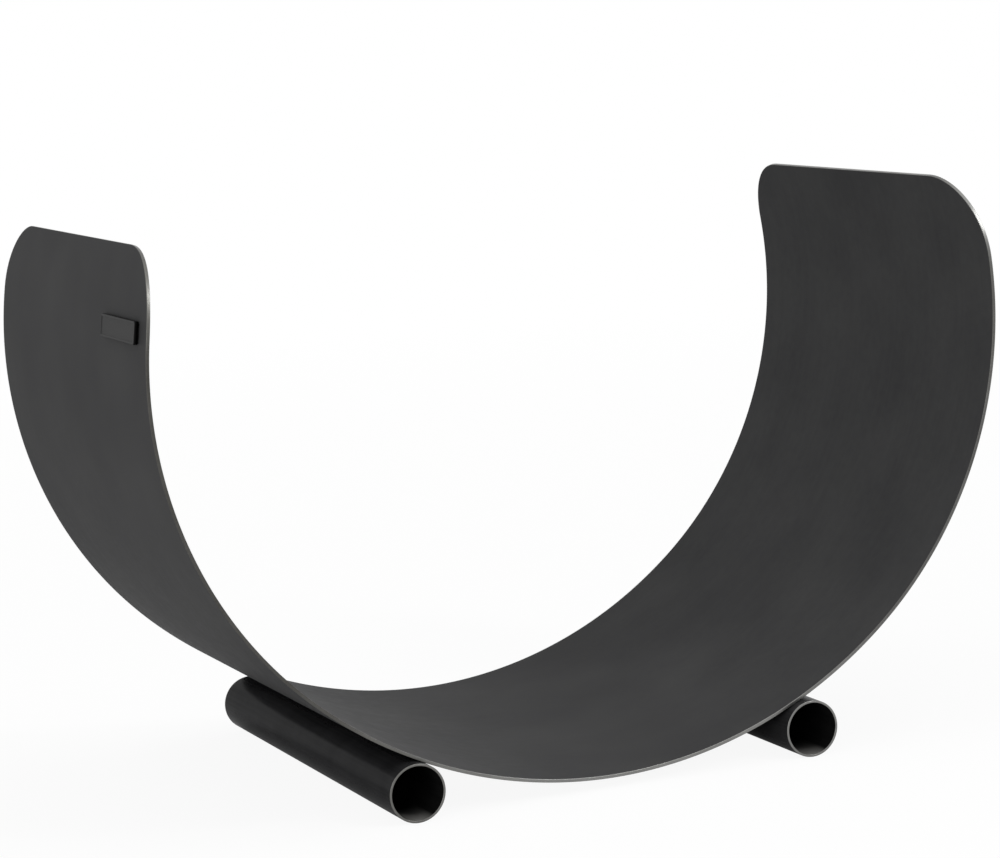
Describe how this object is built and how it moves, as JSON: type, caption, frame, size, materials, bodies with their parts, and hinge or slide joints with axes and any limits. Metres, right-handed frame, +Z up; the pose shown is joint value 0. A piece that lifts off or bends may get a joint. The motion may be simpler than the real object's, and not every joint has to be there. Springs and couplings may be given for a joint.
{
  "type": "firewood rack",
  "caption": "Crescent firewood rack of rolled dark steel plate with rounded corners, open at front and back, on open-ended tube feet, with a bare badge on the left wing.",
  "frame": {"origin": "on the floor, under the middle of the rack", "axes": "+Z up, +X along the width to the viewer's right, -Y towards the front"},
  "size_m": [0.8025, 0.429, 0.4999],
  "materials": {
    "plate_steel": "satin charcoal, bare bright cut edges",
    "tube_steel": "satin black, bare cut ends",
    "weld_metal": "rippled weld bead",
    "badge_metal": "satin dark grey",
    "pad_foam": "matt black foam"
  },
  "bodies": {
    "root": {"curved_plate": "plate_steel", "left_foot_tube": "tube_steel", "right_foot_tube": "tube_steel", "left_foot_welds": "weld_metal", "right_foot_welds": "weld_metal", "badge_plate": "badge_metal", "badge_bonding_pad": "pad_foam"}
  },
  "joints": []
}
